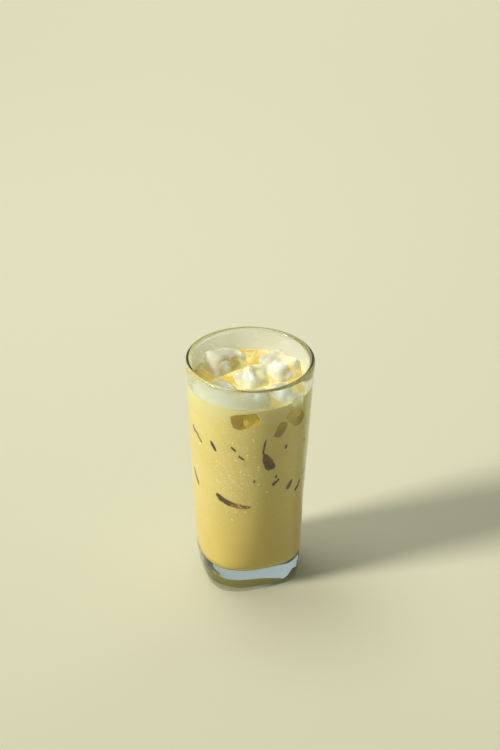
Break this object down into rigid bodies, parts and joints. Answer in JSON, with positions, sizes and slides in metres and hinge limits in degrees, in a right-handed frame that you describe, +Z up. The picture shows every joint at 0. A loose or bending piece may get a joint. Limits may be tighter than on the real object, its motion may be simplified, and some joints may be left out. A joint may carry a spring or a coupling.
{
  "type": "iced coffee in a glass",
  "caption": "Clear tumbler, round at the rim and square at the foot, filled with milky iced coffee, with ice cubes standing out of the surface.",
  "frame": {"origin": "centre of the glass's foot, on the surface it stands on", "axes": "+Z up along the glass's axis; X and Y square to the flat sides of the foot"},
  "size_m": [0.0748, 0.0748, 0.149],
  "materials": {
    "glass": "clear soda-lime glass with a faint grey-green edge",
    "coffee": "opaque milky coffee, pale golden tan",
    "ice": "clear wet ice with white haze and fine bubbles inside"
  },
  "bodies": {
    "root": {"glass": "glass", "coffee": "coffee", "ice_back_left": "ice", "ice_back_right": "ice", "ice_middle": "ice", "ice_front": "ice", "ice_front_right": "ice", "ice_front_left": "ice"}
  },
  "joints": []
}
